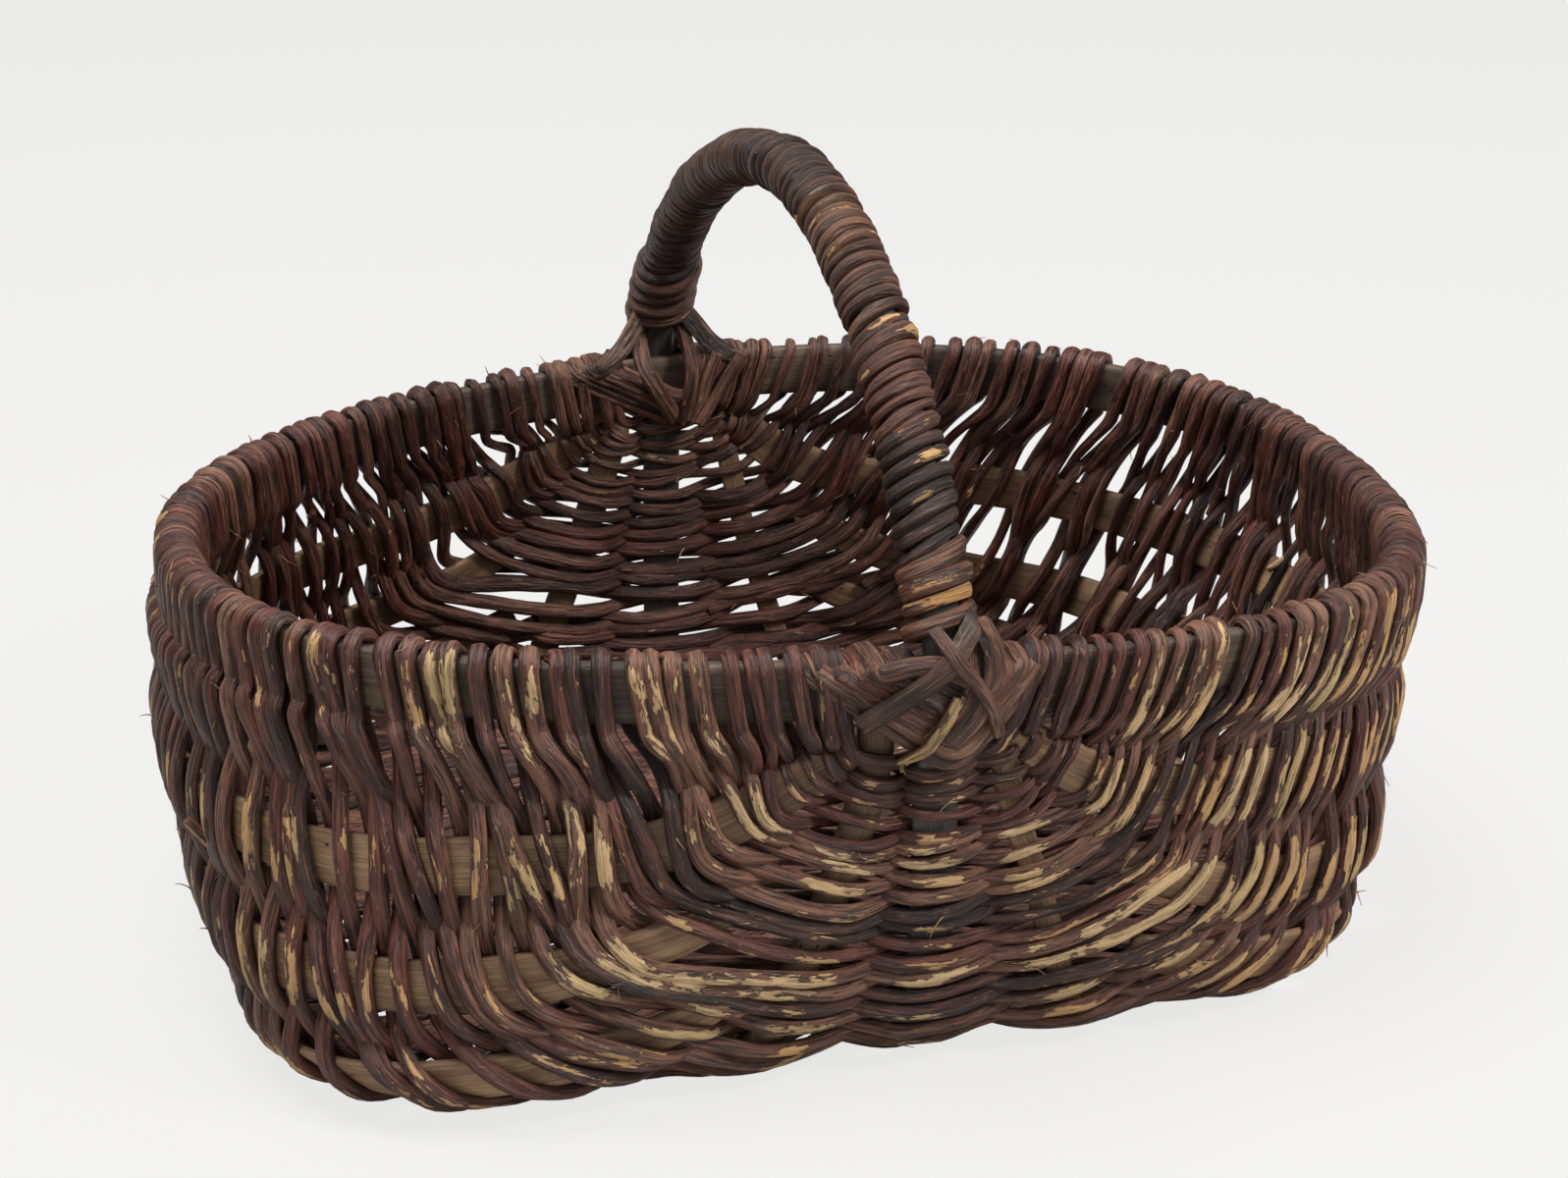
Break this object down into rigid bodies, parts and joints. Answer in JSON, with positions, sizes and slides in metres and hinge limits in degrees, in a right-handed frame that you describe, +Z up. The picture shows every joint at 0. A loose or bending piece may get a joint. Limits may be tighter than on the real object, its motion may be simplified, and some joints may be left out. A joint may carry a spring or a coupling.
{
  "type": "handled basket",
  "caption": "Oval rib basket with a fixed arched handle, flat ribs and bark-on willow woven over and under them and round the rim.",
  "frame": {"origin": "middle of the part's box at its lowest plane, which is the ground under the floor of the basket", "axes": "+X along the basket's length towards the end on the picture's right, +Y from the front lashing to the back one, along the handle, +Z up"},
  "size_m": [0.5008, 0.413, 0.3115],
  "materials": {
    "rim_wood": "weathered split wood, dull",
    "handle_wood": "weathered split wood, grey, dull",
    "rib_wood": "weathered split wood, dull",
    "peeled_rod": "peeled and aged, dull",
    "weaver_bark": "dried bark with tan peeled streaks, satin",
    "wrap_bark": "dried bark, satin",
    "lashing_bark": "dried bark, satin"
  },
  "bodies": {
    "root": {"cross_strand_back": "lashing_bark", "cross_strand_front_thick": "lashing_bark", "cross_strand_front_thin": "lashing_bark", "floor_rod_left": "peeled_rod", "floor_splint_right": "peeled_rod", "handle_hoop": "handle_wood", "handle_wrap": "wrap_bark", "lashing_back": "lashing_bark", "lashing_front": "lashing_bark", "rib_left_lower": "rib_wood", "rib_left_middle": "rib_wood", "rib_left_upper": "rib_wood", "rib_right_lower": "rib_wood", "rib_right_middle": "rib_wood", "rib_right_upper": "rib_wood", "rim_hoop": "rim_wood", "weaver_01": "weaver_bark", "weaver_02": "weaver_bark", "weaver_03": "weaver_bark", "weaver_04": "weaver_bark", "weaver_05": "weaver_bark", "weaver_06": "weaver_bark", "weaver_07": "weaver_bark", "weaver_08": "weaver_bark", "weaver_09": "weaver_bark", "weaver_10": "weaver_bark", "weaver_11": "weaver_bark", "weaver_12": "weaver_bark", "weaver_13": "weaver_bark", "weaver_14": "weaver_bark", "weaver_15": "weaver_bark", "weaver_16": "weaver_bark", "weaver_17": "weaver_bark", "weaver_18": "weaver_bark", "weaver_19": "weaver_bark", "weaver_20": "weaver_bark", "weaver_21": "weaver_bark", "weaver_22": "weaver_bark", "weaver_23": "weaver_bark", "weaver_24": "weaver_bark", "weaver_25": "weaver_bark", "weaver_26": "weaver_bark", "weaver_27": "weaver_bark", "weaver_28": "weaver_bark", "weaver_29": "weaver_bark", "weaver_30": "weaver_bark", "weaver_31": "weaver_bark", "weaver_32": "weaver_bark"}
  },
  "joints": []
}
